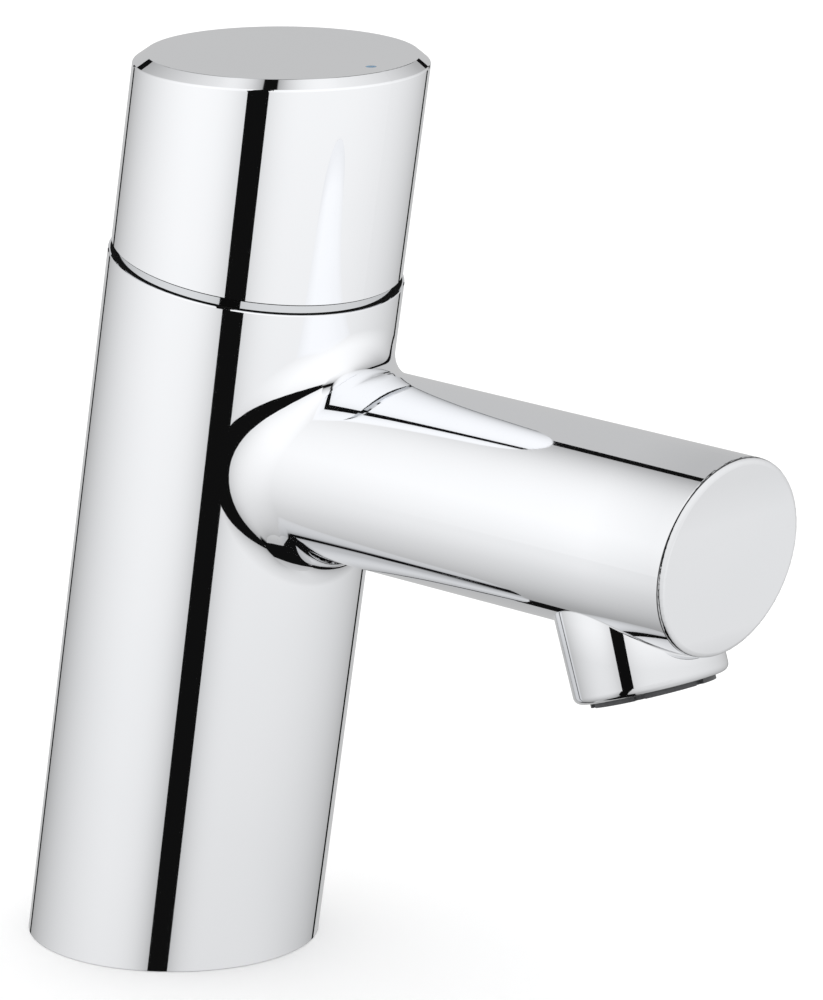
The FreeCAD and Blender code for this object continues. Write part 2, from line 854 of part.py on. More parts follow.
def jet_base():
    """Where the jet plate starts, under the screen's flange."""
    return grid_base() - jet_plate - stack


def grid_base():
    """Where the outlet grid's rim starts."""
    return aerator_foot() + aerator_length - aerator_lip_height - grid_rim_height - stack


def aerator_screen():
    """The conical strainer on its flat flange, its crown upstream."""
    low = jet_base() - stack - screen_flange
    high = low + screen_flange
    top = low - screen_rise
    rim = aerator_bore_radius - slide
    foot = rim - grid_rim
    return on_nozzle(turned([
        (0, top), (screen_crown, top), (foot, low), (rim, low), (rim, high),
        (foot - screen_skin, high), (screen_crown - screen_skin, top + screen_skin), (0, top + screen_skin),
    ]))


def aerator_insert():
    """The jet plate, with a ring of narrow slots."""
    low = jet_base()
    plate = disc(aerator_bore_radius - slide, low, low + jet_plate)
    corner = Vector(jet_slot_inner, -jet_slot_width / 2, low - over)
    slot = Part.makeBox(jet_slot_outer - jet_slot_inner, jet_slot_width, jet_plate + 2 * over, corner)
    for copy in around(slot, jet_slot_count):
        plate = plate.cut(copy)
    return on_nozzle(plate)


def aerator_grid():
    """The honeycomb at the outlet, with its rim."""
    low = grid_base()
    high = low + grid_rim_height
    rim = aerator_bore_radius - slide
    reach = rim - grid_rim
    plate = ring(reach, rim, low, high).fuse(disc(reach + press, high - grid_depth, high))
    pitch = grid_cell + grid_web
    cell = hexagon(grid_cell, high - grid_depth - over, high + over)
    cell.rotate(origin, upright, 30)
    rows = int(rim / pitch) + 1
    holes = []
    for row in range(-rows, rows + 1):
        for column in range(-rows, rows + 1):
            x = (column + (row % 2) / 2) * pitch
            y = row * pitch * math.sqrt(3) / 2
            if math.hypot(x, y) + grid_cell / 2 < reach:
                hole = cell.copy()
                hole.translate(Vector(x, y, 0))
                holes.append(hole)
    return on_nozzle(plate.cut(Part.makeCompound(holes)))


PIECES = [
    body, collar_ring, collar_washer, glide_ring, base_insert, insert_clip, base_seal, riser_tube, riser_o_rings,
    bonnet, bonnet_seal, seat_seal, fixed_disc, moving_disc, stem, stem_o_rings, thrust_washer, stem_clip,
    handle, handle_insert, set_screw, indicator_dot,
    aerator_housing, aerator_seal, aerator_screen, aerator_insert, aerator_grid,
]

os.makedirs("parts", exist_ok=True)
for make_piece in PIECES:
    piece = make_piece()
    name = make_piece.__name__
    piece.exportStep("parts/" + name + ".step")
    print(f"{name}: {len(piece.Solids)} solid(s), valid {piece.isValid()}, {piece.Volume:.1f} mm3")
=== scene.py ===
# %% [markdown]
# A pillar tap is a bright chrome object, and chrome has hardly any colour of its own. What the eye
# sees is the room, bent round a column, a spout and a short nozzle. So this lesson spends its first
# cells on the room, and only then on the finishes of the tap's pieces.
#
# The pieces themselves come from the construction model, at their real size and in their real place.
# Loading them first gives every later step something to measure.

# %% Load the tap
import math
from functools import partial

import bpy
from mathutils import Matrix, Vector
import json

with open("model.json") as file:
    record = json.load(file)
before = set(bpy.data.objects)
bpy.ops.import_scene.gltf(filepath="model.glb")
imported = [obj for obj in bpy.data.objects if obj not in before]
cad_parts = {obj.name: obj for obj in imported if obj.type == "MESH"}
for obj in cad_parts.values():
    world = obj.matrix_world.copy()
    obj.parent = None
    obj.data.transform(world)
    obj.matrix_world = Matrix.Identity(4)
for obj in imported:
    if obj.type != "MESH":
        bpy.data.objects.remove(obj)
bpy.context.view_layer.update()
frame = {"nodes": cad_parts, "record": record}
tap_nodes = frame["nodes"]

# %% [markdown]
# Photographs of taps are taken from far away with a long lens, so that the column's sides stay
# almost parallel. A camera can be aimed with a constraint, or by building its three axes. The axes
# are used here, because the picture is also rolled by a quarter of a degree, and the roll is then
# one more turn of two vectors.

# %% Place the camera
camera_azimuth = math.radians(42.856)
camera_elevation = math.radians(14.860)
camera_roll = math.radians(0.2817)
camera_place = Vector((0.728196, -0.729374, 0.343778))
focal_pixels = 6774.33
image_height = 1000
sensor = 36.0

right = Vector((math.cos(camera_azimuth), math.sin(camera_azimuth), 0))
back = Vector((
    math.sin(camera_azimuth) * math.cos(camera_elevation),
    -math.cos(camera_azimuth) * math.cos(camera_elevation),
    math.sin(camera_elevation),
))
up = back.cross(right)
rolled_right = right * math.cos(camera_roll) + up * math.sin(camera_roll)
rolled_up = up * math.cos(camera_roll) - right * math.sin(camera_roll)

lens = bpy.data.cameras.new("studio_camera")
lens.sensor_width = sensor
lens.lens = focal_pixels * sensor / image_height
studio_camera = bpy.data.objects.new("studio_camera", lens)
bpy.context.scene.collection.objects.link(studio_camera)
turn = Matrix((rolled_right, rolled_up, back)).transposed().to_4x4()
studio_camera.matrix_world = Matrix.Translation(camera_place) @ turn
bpy.context.scene.camera = studio_camera
print("camera", round(camera_place.length, 3), "m away, lens", round(lens.lens, 1), "mm")

# %% [markdown]
# The floor is plain matt paint. A finish in Blender is a shader with a net of nodes before it. Three
# helpers start such a net: one joins two sockets, one adds a node with its values, and one makes a
# material with only its shader. What is the same all over the floor is set on the shader itself.

# %% Start the floor's paint
def wire(tree, source, target):
    """Joins an output socket to an input socket."""
    tree.links.new(source, target)


def add_node(tree, kind, **values):
    """Adds a node and sets its unlinked inputs by name."""
    node = tree.nodes.new(kind)
    for name, value in values.items():
        node.inputs[name.replace("_", " ")].default_value = value
    return node


def new_finish(name):
    """A material with nothing but its shader, ready for the nodes that drive it."""
    finish = bpy.data.materials.new(name)
    finish.use_nodes = True
    shader = finish.node_tree.nodes["Principled BSDF"]
    return finish, finish.node_tree, shader


floor_roughness = 0.9
floor_shine = 0.1

floor_paint, floor_tree, floor_shader = new_finish("pale_floor")
floor_shader.inputs["Roughness"].default_value = floor_roughness
floor_shader.inputs["Specular IOR Level"].default_value = floor_shine
print("floor paint with roughness", floor_roughness)

# %% [markdown]
# A single colour looks dead even on a plain floor, so the paint gets a very faint mottle. Most nets
# in this lesson take the same way: from the place of a point on the piece, through a noise, to a range
# of values. A helper for each of those steps keeps the nets short enough to read.

# %% Mottle the floor's paint
def surface_place(tree):
    """Where a point lies on its piece, in metres."""
    return add_node(tree, "ShaderNodeTexCoord").outputs["Object"]


def noise(tree, place, scale, detail, roughness=0.5):
    """A cloudy value between 0 and 1. The scale counts its lumps per metre."""
    cloud = add_node(tree, "ShaderNodeTexNoise", Scale=scale, Detail=detail, Roughness=roughness)
    wire(tree, place, cloud.inputs["Vector"])
    return cloud.outputs["Fac"]


def rescale(tree, value, from_low, from_high, to_low, to_high):
    """Carries a value from one range to another, and holds it at that range's ends."""
    ends = {"From_Min": from_low, "From_Max": from_high, "To_Min": to_low, "To_Max": to_high}
    scaled = add_node(tree, "ShaderNodeMapRange", **ends)
    wire(tree, value, scaled.inputs["Value"])
    return scaled.outputs["Result"]


floor_grey = 0.99
floor_mottle_depth = 0.01
floor_lumps = 3.0

floor_mottle = noise(floor_tree, surface_place(floor_tree), floor_lumps, detail=2.0)
floor_tone = rescale(floor_tree, floor_mottle, 0.0, 1.0, floor_grey - floor_mottle_depth, floor_grey)
wire(floor_tree, floor_tone, floor_shader.inputs["Base Color"])
print("floor paint of", len(floor_tree.nodes), "nodes")

# %% [markdown]
# The floor runs past the edge of the picture and gives the tap's soft contact shadow something to
# fall on. One flat disc is enough for that. It is hidden from reflections: in the studio the tap
# stands clear of its surroundings, and the dark stripe in the column runs down to the foot without
# meeting a floor.

# %% Lay the floor
def mesh_object(name, points, faces, finish):
    """A smooth-shaded mesh object in the tap's own frame."""
    mesh = bpy.data.meshes.new(name)
    mesh.from_pydata(points, [], faces)
    mesh.polygons.foreach_set("use_smooth", [True] * len(faces))
    mesh.materials.append(finish)
    made = bpy.data.objects.new(name, mesh)
    bpy.context.scene.collection.objects.link(made)
    return made


floor_radius = 6.0
floor_drop = 0.0001
floor_sides = 96

floor_rim = []
for side in range(floor_sides):
    angle = 2 * math.pi * side / floor_sides
    floor_rim.append((floor_radius * math.cos(angle), floor_radius * math.sin(angle), -floor_drop))
floor = mesh_object("floor", floor_rim, [list(range(floor_sides))], floor_paint)
floor.visible_glossy = False
print("floor of", 2 * floor_radius, "m")

# %% [markdown]
# The studio is a tent of two white walls that face each other round the tap, with a narrow black gap
# where they almost meet, a little left of the camera. The gap is the dark stripe that runs down the
# column. Behind the tap hangs a grey backdrop, with a thin dark joint to each wall: those joints are
# the hairlines near the column's two edges and the line along the top of the spout.
#
# Every wall is a card that shines. How brightly is written in a mesh attribute, point by point, so
# one finish serves all the cards and each card still has its own fall of light. The levels are meant
# as they look in the chrome, so a card shines a little more than that, by what chrome doesn't return.

# %% Make the light of the cards
chrome_reflectance = 0.95


def card_finish(name):
    """Light that leaves a card as strongly as its glow attribute says."""
    finish, tree, shader = new_finish(name)
    tree.nodes.remove(shader)
    glow = add_node(tree, "ShaderNodeAttribute")
    glow.attribute_name = "glow"
    lamp = add_node(tree, "ShaderNodeEmission")
    wire(tree, glow.outputs["Fac"], lamp.inputs["Strength"])
    wire(tree, lamp.outputs["Emission"], tree.nodes["Material Output"].inputs["Surface"])
    return finish


def card_grid(name, points, glow, columns):
    """A card from rows of points. Reflections see it, and the camera, the floor and shadows don't."""
    faces = []
    for corner in range(len(points) - columns - 1):
        if (corner + 1) % (columns + 1):
            faces.append((corner, corner + 1, corner + columns + 2, corner + columns + 1))
    card = mesh_object(name, points, faces, tent_light)
    strength = [level / chrome_reflectance for level in glow]
    card.data.attributes.new("glow", "FLOAT", "POINT").data.foreach_set("value", strength)
    card.visible_camera = False
    card.visible_diffuse = False
    card.visible_shadow = False
    card.visible_transmission = False


tent_light = card_finish("tent_light")
print("light of the cards made, with", len(tent_light.node_tree.nodes), "nodes")

# %% [markdown]
# A picture of a studio wrapped round the scene would be quicker, but it is infinitely far away. Then
# the stripe in the nozzle would sit where the stripe in the column does. Real cards at a real
# distance, 280 mm, shift it as in the photograph.
#
# The first card is an almost black room just outside the tent. It is what shows through the gap and
# the joints.

# %% Darken the room
tent_radius = 0.28
room_radius = 1.15 * tent_radius
tent_foot = -0.60
tent_head = 0.75
tent_step_deg = 2.0
tent_rows = 54
room_black = 0.005


def tent_card(name, span, radius, level):
    """A curved upright card. Its span at a height runs from one bearing to another, in degrees
    counted from the camera to the right."""
    columns = round((span(0.0)[1] - span(0.0)[0]) / tent_step_deg)
    points, glow = [], []
    for row in range(tent_rows + 1):
        height = tent_foot + (tent_head - tent_foot) * row / tent_rows
        from_deg, to_deg = span(height)
        for column in range(columns + 1):
            bearing = from_deg + (to_deg - from_deg) * column / columns
            angle = camera_azimuth + math.radians(bearing)
            points.append((radius * math.sin(angle), -radius * math.cos(angle), height))
            glow.append(level(bearing, height))
    card_grid(name, points, glow, columns)


def full_circle(height):
    """All the way round."""
    return 0.0, 360.0


def room_level(bearing, height):
    """The dark room is even."""
    return room_black


tent_card("dark_room", full_circle, room_radius, room_level)
print("dark room of", round(2 * room_radius, 2), "m")

# %% [markdown]
# Cloth hangs straight only where it is stretched. The gap is even at the tap's height and spreads at
# its foot, where it gives the blend under the spout its broad dark band. The joints between walls and
# backdrop are narrow at the tap's height and open towards the floor and the ceiling, so the line on
# top of the spout is bolder than the hairlines on the column.
#
# Bearings are in degrees, counted from the camera to the right. Depths are metres below the deck.

# %% Set out the gap and the joints
gap_from, gap_to = -20.7, -5.2
gap_middle = (gap_from + gap_to) / 2
gap_foot_from, gap_foot_to = -29.0, -6.0
gap_foot_depths = (0.40, 0.44)
gap_foot_spread = 18.0
gap_foot_spread_depths = (0.50, 0.60)
gap_foot_softness = 3.0
left_joint, right_joint = -152.5, 149.2
joint_narrow = 2.4
joint_opens_above, joint_heights = 2.4, (0.26, 0.55)
joint_opens_below, joint_depths = 5.5, (0.12, 0.33)


def share(value, start, end):
    """How far a value has come from a start to an end, from 0 to 1."""
    return min(max((value - start) / (end - start), 0.0), 1.0)


def gap_foot(bearing, height):
    """How far the dark that spreads from the gap's foot hides the walls, from 0 to 1."""
    right_edge = gap_foot_to + gap_foot_spread * share(-height, *gap_foot_spread_depths)
    sideways = share(bearing - gap_foot_from, -gap_foot_softness, gap_foot_softness)
    sideways *= share(right_edge - bearing, -gap_foot_softness, gap_foot_softness)
    return sideways * share(-height, *gap_foot_depths)


def joint_half(height):
    """Half a joint's width in degrees."""
    above = joint_opens_above * share(height, *joint_heights)
    below = joint_opens_below * share(-height, *joint_depths)
    return joint_narrow + above + below


# %% [markdown]
# Each wall is brightest at one bearing and fades both ways: quickly into the black gap, slowly
# towards the backdrop. It also fades downwards, because its light comes from above. Low down the
# fade into the gap is deeper, and high up the fade to the far end is. A few numbers a wall are enough
# for that, and they are easier to adjust than a painted picture.

# %% Work out the light on a wall
wall_white = 1.02
lit_above, dim_below = 0.15, -0.15
dim_depth, dim_power = 0.26, 1.15
front_foot_depth = 0.45
gap_fade_low, gap_fade_high = 1.25, 0.45
far_fade_heights = (0.10, 0.25)

left_wall = {
    "best": -58.0, "gap_side": 1, "gap_reach": 38.0, "gap_depth": 0.34, "gap_power": 3.25,
    "far_reach": 93.0, "far_depth": 0.57, "far_depth_high": 0.62, "far_power": 1.6, "far_foot_depth": 0.30,
}
right_wall = {
    "best": 30.0, "gap_side": -1, "gap_reach": 36.0, "gap_depth": 0.28, "gap_power": 3.4,
    "far_reach": 117.0, "far_depth": 0.49, "far_depth_high": 0.64, "far_power": 2.4, "far_foot_depth": 0.0,
}


def fade(distance, reach, depth, power=1.0):
    """The light left at a distance from a card's brightest place."""
    return 1.0 - depth * share(distance, 0.0, reach) ** power


def between(start, end, part):
    """The value part of the way from a start to an end."""
    return start + (end - start) * part


def wall_level(wall, bearing, height):
    """A wall's light at a bearing and a height."""
    to_gap = (bearing - wall["best"]) * wall["gap_side"]
    gap_depth = wall["gap_depth"] * between(gap_fade_low, gap_fade_high, share(height, dim_below, lit_above))
    far_depth = between(wall["far_depth"], wall["far_depth_high"], share(height, *far_fade_heights))
    far_foot = share(-to_gap, 0.0, 0.5 * wall["far_reach"])
    foot_depth = between(front_foot_depth, wall["far_foot_depth"], far_foot)
    sideways = fade(to_gap, wall["gap_reach"], gap_depth, wall["gap_power"])
    sideways *= fade(-to_gap, wall["far_reach"], far_depth, wall["far_power"])
    downwards = fade(lit_above - height, lit_above - dim_below, dim_depth, dim_power)
    downwards *= fade(dim_below - height, dim_below - tent_foot, foot_depth)
    return wall_white * sideways * downwards * (1.0 - gap_foot(bearing, height))


brightest = wall_level(left_wall, left_wall["best"], lit_above)
foot_light = wall_level(left_wall, left_wall["best"], tent_foot)
print("left wall at its brightest", brightest, "and at its foot", round(foot_light, 2))

# %% [markdown]
# With its light worked out, a wall only needs its two ends. The gap's edges are upright, and the
# joints follow the way they open, so each wall is a card whose span changes with the height.

# %% Hang the two walls
def left_wall_span(height):
    """From the left joint to the gap."""
    return left_joint + joint_half(height), gap_from


def right_wall_span(height):
    """From the gap to the right joint."""
    return gap_to, right_joint - joint_half(height)


tent_card("left_wall", left_wall_span, tent_radius, partial(wall_level, left_wall))
tent_card("right_wall", right_wall_span, tent_radius, partial(wall_level, right_wall))
print("two walls in a tent", 2 * tent_radius, "m across")

# %% [markdown]
# The backdrop is grey paper behind the tap. In a mirror as round as the column it shrinks to a narrow
# strip at each edge, and it covers the handle's level top and the top of the spout. Its grey is what
# separates the tap from the white page.

# %% Hang the backdrop
backdrop_grey = 0.53
backdrop_dims_below = -0.05
backdrop_dim_reach, backdrop_dim_depth = 0.45, 0.25


def backdrop_level(bearing, height):
    """The grey paper behind the tap, a little darker towards its foot."""
    return backdrop_grey * fade(backdrop_dims_below - height, backdrop_dim_reach, backdrop_dim_depth)


def backdrop_span(height):
    """From the right joint on round the back to the left joint."""
    return right_joint + joint_half(height), 360.0 + left_joint - joint_half(height)


tent_card("backdrop", backdrop_span, tent_radius, backdrop_level)
print("backdrop from", right_joint, "to", 360.0 + left_joint, "degrees")

# %% [markdown]
# The handle's bevel and the blend above the spout point upwards, so they look at the tent's ceiling.
# The gap runs on across it as a black strip, and the white fades towards the strip on both sides. A
# level sheet is a fine grid of points, so that the strip's edge stays crisp.

# %% Close the tent above
sheet_step = 0.006
sheet_count = round(2 * room_radius / sheet_step)
gap_angle = camera_azimuth + math.radians(gap_middle)
gap_along = Vector((math.sin(gap_angle), -math.cos(gap_angle), 0))
gap_across = Vector((math.cos(gap_angle), math.sin(gap_angle), 0))
ceiling_white = 0.93
strip_left, strip_right = -0.058, 0.004
strip_shade_reach, strip_shade_depth, strip_shade_power = 0.25, 0.6, 3.0


def sheet_card(name, height, level):
    """A level sheet across the tent. Its light depends on the way along and across the gap."""
    points, glow = [], []
    for row in range(sheet_count + 1):
        along = sheet_step * (row - sheet_count / 2)
        for column in range(sheet_count + 1):
            across = sheet_step * (column - sheet_count / 2)
            points.append(gap_along * along + gap_across * across + Vector((0, 0, height)))
            glow.append(level(along, across))
    card_grid(name, points, glow, sheet_count)


def ceiling_level(along, across):
    """White on both sides of the black strip, dimmer beside it, and like the walls at its rim."""
    from_strip = max(strip_left - across, across - strip_right)
    if from_strip < 0:
        return room_black
    bearing = gap_middle + math.degrees(math.atan2(across, along))
    rim = wall_level(left_wall if across < 0 else right_wall, bearing, tent_head)
    outward = share(math.hypot(along, across), 0.0, tent_radius) ** 2
    shade = fade(strip_shade_reach - from_strip, strip_shade_reach, strip_shade_depth, strip_shade_power)
    return between(ceiling_white, rim, outward) * shade


sheet_card("tent_ceiling", tent_head, ceiling_level)
print("ceiling at", tent_head, "m")

# %% [markdown]
# The blend under the spout looks down instead, at a dimmer sheet, where the gap spreads into a broad
# black strip. Its right edge is straight, and its left edge is two straight lines that meet beside
# the tap, so the strip narrows towards the camera and towards the back. Each of those lines is given
# by its slope and by where it passes the tap.

# %% Lay the dim sheet below
ground_grey = 0.47
ground_even = 0.03
ground_rise = 0.9
ground_strip_right = 0.12
ground_strip_left = ((0.345, -0.166), (-0.81, -0.184))


def ground_level(along, across):
    """The dim sheet. It brightens with the distance from the strip, beyond an even border."""
    left_of_strip = [slope * along + offset - across for slope, offset in ground_strip_left]
    from_strip = max(across - ground_strip_right, *left_of_strip)
    if from_strip < 0:
        return room_black
    return ground_grey + ground_rise * max(from_strip - ground_even, 0.0)


sheet_card("tent_ground", tent_foot, ground_level)
print("dim sheet at", tent_foot, "m")

# %% [markdown]
# Everything that isn't chrome, and the floor, is lit by a soft even sky. A lamp would add a second
# shadow that the photograph doesn't have. The sky is bright, because the photograph's ground is
# almost pure white. The standard view keeps that white white and the black gap black.

# %% Light the floor and the matt pieces
sky_strength = 1.18

sky = bpy.data.worlds.new("even_sky")
sky.use_nodes = True
sky_light = sky.node_tree.nodes["Background"]
sky_light.inputs["Color"].default_value = (1.0, 1.0, 1.0, 1.0)
sky_light.inputs["Strength"].default_value = sky_strength
bpy.context.scene.world = sky
bpy.context.scene.view_settings.view_transform = "Standard"
print("sky strength", sky_strength)

# %% [markdown]
# Chrome plate over polished brass is a mirror with a faint cool cast. A bare metallic shader looks
# like a computer's idea of chrome, because no real surface has one exact colour. So every finish here
# lets its tone wander between two close ones. The same cloud can drive other sockets as well.

# %% Let the tone wander
tone_from, tone_to = 0.3, 0.7


def ramp(tree, factor, stops):
    """The colour that a row of stops, each a position and a colour, gives for a factor."""
    blend = tree.nodes.new("ShaderNodeValToRGB")
    while len(blend.color_ramp.elements) < len(stops):
        blend.color_ramp.elements.new(0.5)
    for element, (position, colour) in zip(blend.color_ramp.elements, stops):
        element.position = position
        element.color = (*colour, 1.0)
    wire(tree, factor, blend.inputs["Fac"])
    return blend.outputs["Color"]


def add_tone(tree, shader, cloud, dark, light):
    """Lets the colour wander between two close tones with a noise."""
    tone = ramp(tree, cloud, ((tone_from, dark), (tone_to, light)))
    wire(tree, tone, shader.inputs["Base Color"])


print("tones wander between", tone_from, "and", tone_to, "of their noise")

# %% [markdown]
# The gloss changes slowly where the buffing wheel dwelt, and it has hairline wiping marks. Scratches
# could be modelled or painted, but marks this fine only show in the gloss. A fine noise that is
# stretched along the height gives them, and multiplied by the slow cloud they come and go.

# %% Mark the gloss
wiping_scale, wiping_stretch = 2600.0, 0.06
marked_range = (0.12, 0.42)


def reckon(tree, kind, operation, *values):
    """One step of node arithmetic; each value is a socket, a number or a vector."""
    node = tree.nodes.new(kind)
    node.operation = operation
    for slot, value in zip(node.inputs, values):
        if isinstance(value, bpy.types.NodeSocket):
            wire(tree, value, slot)
        else:
            slot.default_value = value
    return next(result for result in node.outputs if result.enabled)


def add_gloss(tree, shader, place, cloud, low, high):
    """Drives the roughness with a slow cloud and fine wiping marks along the height."""
    stretched = add_node(tree, "ShaderNodeMapping", Scale=(1.0, 1.0, wiping_stretch))
    wire(tree, place, stretched.inputs["Vector"])
    hairlines = noise(tree, stretched.outputs["Vector"], wiping_scale, detail=4.0, roughness=0.7)
    marked = reckon(tree, "ShaderNodeMath", "MULTIPLY", cloud, hairlines)
    wire(tree, rescale(tree, marked, *marked_range, low, high), shader.inputs["Roughness"])


print("wiping marks", round(1000 / wiping_scale, 2), "mm apart")

# %% [markdown]
# A surface that was cast, ground and polished by hand keeps a very shallow ripple. A bump from a
# coarse noise bends the reflections by just enough, and the solid stays as round as it is.

# %% Leave a ripple
def add_ripple(tree, shader, place, scale, depth, strength):
    """A shallow bump from a noise of that scale per metre."""
    bump = add_node(tree, "ShaderNodeBump", Strength=strength, Distance=depth)
    wire(tree, noise(tree, place, scale, detail=2.0), bump.inputs["Height"])
    wire(tree, bump.outputs["Normal"], shader.inputs["Normal"])


ripple_scale, ripple_depth, ripple_strength = 55.0, 0.00001, 0.02
print("ripple with lumps", round(1000 / ripple_scale), "mm apart")

# %% [markdown]
# Now the chrome itself: a metallic shader with all three. The body and the handle are plated alike
# but polished apart, so each has its own finish. The collar is thin and set back, and it is darker
# in the photograph, so its tones are darkened too: painted shade for the groove it sits in.

# %% Polish the chrome
buffing_scale = 28.0
best_gloss = 0.015
plate_tones = ((0.925, 0.937, 0.958), (0.945, 0.953, 0.972))
# The collar's tones carry painted shade for the groove it sits in.
collar_shaded_tones = ((0.620, 0.634, 0.655), (0.660, 0.674, 0.690))


def chrome_finish(name, dark, light, haze):
    """Chrome plate between two tones. haze is how much rougher its dullest places are."""
    finish, tree, shader = new_finish(name)
    shader.inputs["Metallic"].default_value = 1.0
    place = surface_place(tree)
    cloud = noise(tree, place, buffing_scale, detail=3.0)
    add_gloss(tree, shader, place, cloud, best_gloss, best_gloss + haze)
    add_tone(tree, shader, cloud, dark, light)
    add_ripple(tree, shader, place, ripple_scale, ripple_depth, ripple_strength)
    return finish


body_chrome = chrome_finish("body_chrome", *plate_tones, haze=0.030)
handle_chrome = chrome_finish("handle_chrome", *plate_tones, haze=0.025)
collar_chrome = chrome_finish("collar_chrome", *collar_shaded_tones, haze=0.045)
print("chrome for body, handle and collar, each of", len(body_chrome.node_tree.nodes), "nodes")

# %% [markdown]
# The spout's end and the nozzle are darkened by painted shade that takes about a tenth of the
# brightness. Scaling the plate's own colour does that in a mirror this bright, and its edges follow
# from places on the spout and the nozzle.

# %% Paint shade on the spout's end and the nozzle
# Painted shade: the plate is darker towards the spout's end and on the nozzle.
end_shade_way, end_shade_keeps = (0.100, 0.1125), 0.91
nozzle_heights, nozzle_way, nozzle_shade_takes = (0.071, 0.066), (0.065, 0.080), 0.14


def scale_colour(finish, kept):
    """Keeps a share of a finish's colour, worked out for each point."""
    tree = finish.node_tree
    colour = tree.nodes["Principled BSDF"].inputs["Base Color"]
    scaled = add_node(tree, "ShaderNodeVectorMath")
    scaled.operation = "SCALE"
    wire(tree, colour.links[0].from_socket, scaled.inputs[0])
    wire(tree, kept, scaled.inputs["Scale"])
    wire(tree, scaled.outputs["Vector"], colour)


def add_end_shade(finish):
    """Paints shade on the plate towards the spout's end and on the nozzle."""
    tree = finish.node_tree
    parts = add_node(tree, "ShaderNodeSeparateXYZ")
    wire(tree, surface_place(tree), parts.inputs["Vector"])
    end_shade = rescale(tree, parts.outputs["X"], *end_shade_way, 1.0, end_shade_keeps)
    below_spout = rescale(tree, parts.outputs["Z"], *nozzle_heights, 0.0, 1.0)
    ahead = rescale(tree, parts.outputs["X"], *nozzle_way, 0.0, nozzle_shade_takes)
    nozzle_shade = reckon(tree, "ShaderNodeMath", "MULTIPLY", below_spout, ahead)
    scale_colour(finish, reckon(tree, "ShaderNodeMath", "SUBTRACT", end_shade, nozzle_shade))


add_end_shade(body_chrome)
print("film from", 1000 * end_shade_way[0], "mm ahead of the column")

# %% [markdown]
# The end disc's rim gets a fine dark line: painted shade for a narrow gap where the disc meets the tube,
# laid over the dark gap that the edge mirrors. A groove a fifth of a millimetre wide could be cut into
# the solid, but at this size a drawn line looks the same. It is drawn by how far a point lies behind
# the disc's face: the stops are shares of the last millimetre or so, each with the brightness kept there.

# %% Paint a line of shade round the end disc
face_dip = math.radians(8.0)
face_middle = Vector((0.11498, 0, 0.08266))
face_outward = Vector((math.cos(face_dip), 0, -math.sin(face_dip)))
rim_shade_depth = 0.0011
# Painted shade: these stops darken a thin ring just behind the end disc's face.
rim_shade_stops = ((0.18, 1.0), (0.22, 0.10), (0.37, 0.10), (0.42, 0.90), (0.90, 0.92), (0.95, 1.0))


def add_rim_shade(finish):
    """Paints a fine dark line of shade round the spout's end disc, over the dark gap its edge mirrors."""
    tree = finish.node_tree
    outward = reckon(tree, "ShaderNodeVectorMath", "DOT_PRODUCT", surface_place(tree), face_outward)
    face = face_middle.dot(face_outward)
    to_face = rescale(tree, outward, face - rim_shade_depth, face, 0.0, 1.0)
    greys = [(position, (kept, kept, kept)) for position, kept in rim_shade_stops]
    scale_colour(finish, ramp(tree, to_face, greys))


add_rim_shade(body_chrome)
print("line within", 1000 * rim_shade_depth, "mm of the end disc's face")

# %% [markdown]
# The pieces inside are turned brass, and turning leaves fine rings about the axis of the lathe. A
# wave texture whose bands follow one another up the leaning column gives those rings as a bump. The
# gloss and the colour come from a noise instead, because brass dulls in patches.

# %% Turn the brass
lean = math.radians(9.5)
ring_scale, ring_depth, ring_strength = 420.0, 0.00004, 0.35
tarnish_scale, tarnish_haze = 140.0, 0.12
brass_tones = ((0.52, 0.36, 0.15), (0.78, 0.60, 0.30))
steel_tones = ((0.40, 0.40, 0.39), (0.62, 0.61, 0.60))


def turned_metal(name, dark, light, roughness):
    """Lathe-turned metal with rings about the column's axis."""
    finish, tree, shader = new_finish(name)
    shader.inputs["Metallic"].default_value = 1.0
    place = surface_place(tree)
    upright = add_node(tree, "ShaderNodeMapping", Rotation=(0.0, -lean, 0.0))
    rings = add_node(tree, "ShaderNodeTexWave", Scale=ring_scale, Distortion=0.6, Detail=2.0)
    rings.bands_direction = "Z"
    bump = add_node(tree, "ShaderNodeBump", Strength=ring_strength, Distance=ring_depth)
    wire(tree, place, upright.inputs["Vector"])
    wire(tree, upright.outputs["Vector"], rings.inputs["Vector"])
    wire(tree, rings.outputs["Fac"], bump.inputs["Height"])
    wire(tree, bump.outputs["Normal"], shader.inputs["Normal"])
    tarnish = noise(tree, place, tarnish_scale, detail=4.0)
    gloss = rescale(tree, tarnish, 0.0, 1.0, roughness, roughness + tarnish_haze)
    wire(tree, gloss, shader.inputs["Roughness"])
    add_tone(tree, shader, tarnish, dark, light)
    return finish


turned_brass = turned_metal("turned_brass", *brass_tones, roughness=0.20)
spring_steel = turned_metal("spring_steel", *steel_tones, roughness=0.24)
print("brass and spring steel, each of", len(turned_brass.node_tree.nodes), "nodes")

# %% [markdown]
# Rubber rings, fibre washers, plastics and ceramic scatter light instead of mirroring it. Each has a
# tone that wanders a little, a gloss of its own and a grain at its own scale: rubber is matt and dusty,
# fibre is flecked, moulded plastic has a fine spark-eroded texture and the ground ceramic is almost
# glassy with faint specks. The washer under the collar sits so deep in its groove that hardly any
# light comes back, so its black tones are darkened further with painted shade, and its shine is less.

# %% Mould the rubber, fibre, plastic and ceramic
grains_per_mottle = 6
grain_strength = 0.4


def moulded(name, tones, rough, spread, grain, depth, shine=0.5):
    """A non-metal whose tone, gloss and grain all come from noise."""
    finish, tree, shader = new_finish(name)
    shader.inputs["Specular IOR Level"].default_value = shine
    place = surface_place(tree)
    mottle = noise(tree, place, grain / grains_per_mottle, detail=5.0, roughness=0.6)
    wire(tree, rescale(tree, mottle, 0.0, 1.0, rough, rough + spread), shader.inputs["Roughness"])
    add_tone(tree, shader, mottle, *tones)
    add_ripple(tree, shader, place, grain, depth, grain_strength)
    return finish


